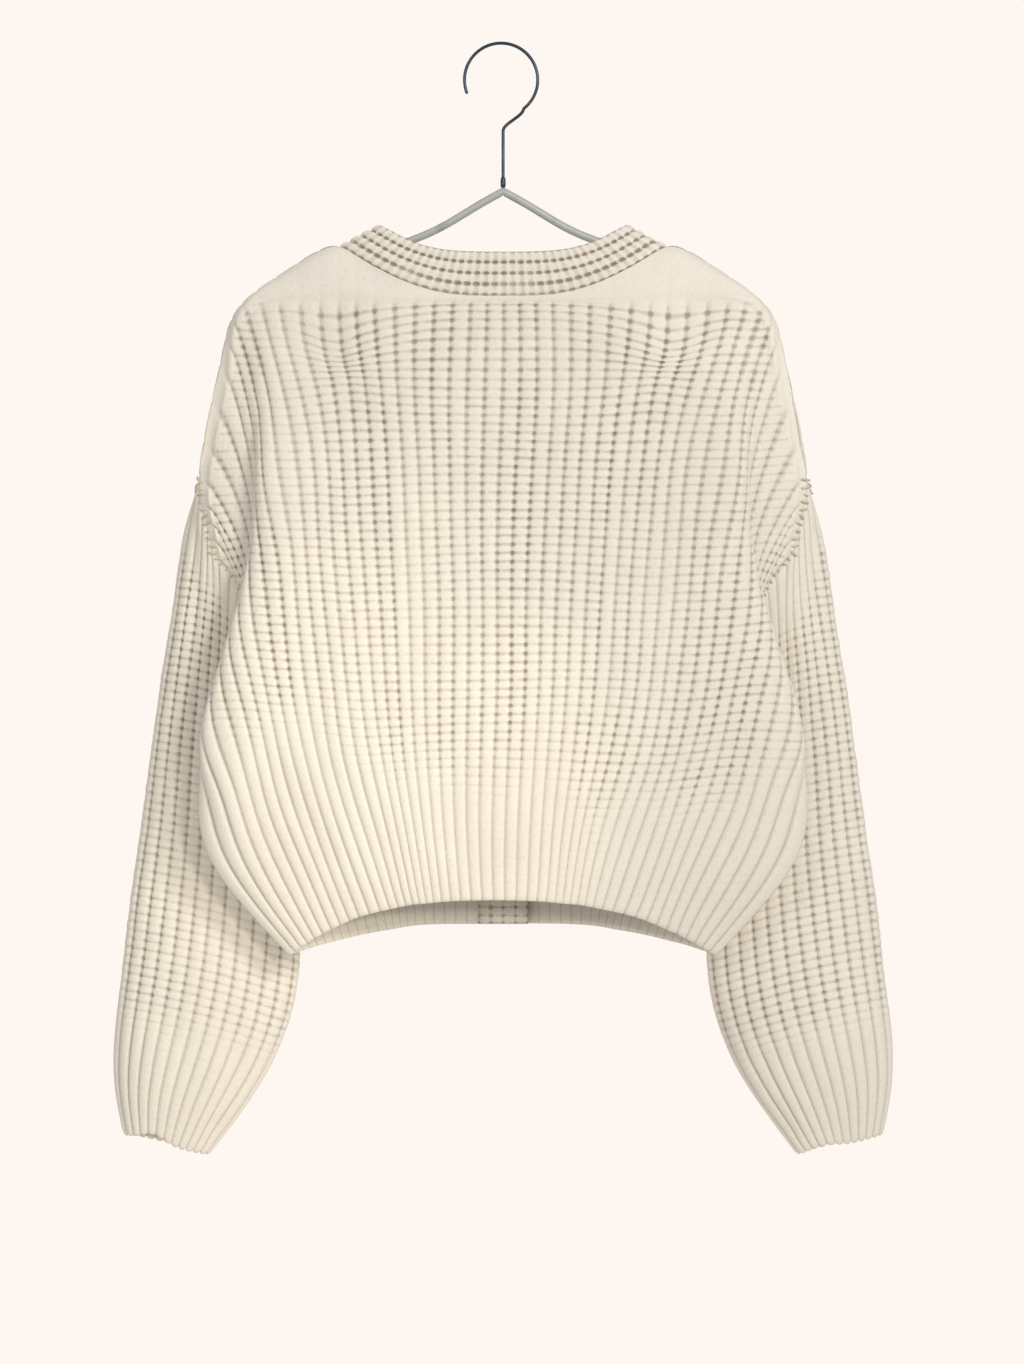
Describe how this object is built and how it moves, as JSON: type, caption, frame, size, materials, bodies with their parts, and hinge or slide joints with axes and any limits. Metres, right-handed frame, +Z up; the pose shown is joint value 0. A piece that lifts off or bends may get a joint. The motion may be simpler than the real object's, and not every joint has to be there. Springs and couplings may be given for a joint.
{
  "type": "cardigan on a hanger",
  "caption": "Chunky rib-knit cardigan with dropped shoulders, full sleeves, a V neck and a button band, hung on a slim wire hanger.",
  "frame": {"origin": "inner top of the hanger's hook, where a rail carries it", "axes": "+Z up, +Y toward the wearer's back, which the picture shows, and +X toward the wearer's left"},
  "size_m": [0.68, 0.1539, 0.9638],
  "materials": {
    "wool": "undyed cream wool in a chunky rib",
    "wool_band": "undyed cream wool, ribbed band",
    "horn": "brown horn look, satin",
    "pale_metal": "pale grey metal tube",
    "dark_wire": "dark blue-grey wire"
  },
  "bodies": {
    "root": {"back": "wool", "front_left": "wool", "front_right": "wool", "sleeve_left": "wool", "sleeve_right": "wool", "band": "wool_band", "button_1": "horn", "button_2": "horn", "button_3": "horn", "button_4": "horn", "button_5": "horn", "hanger_bar": "pale_metal", "hanger_hook": "dark_wire"}
  },
  "joints": []
}
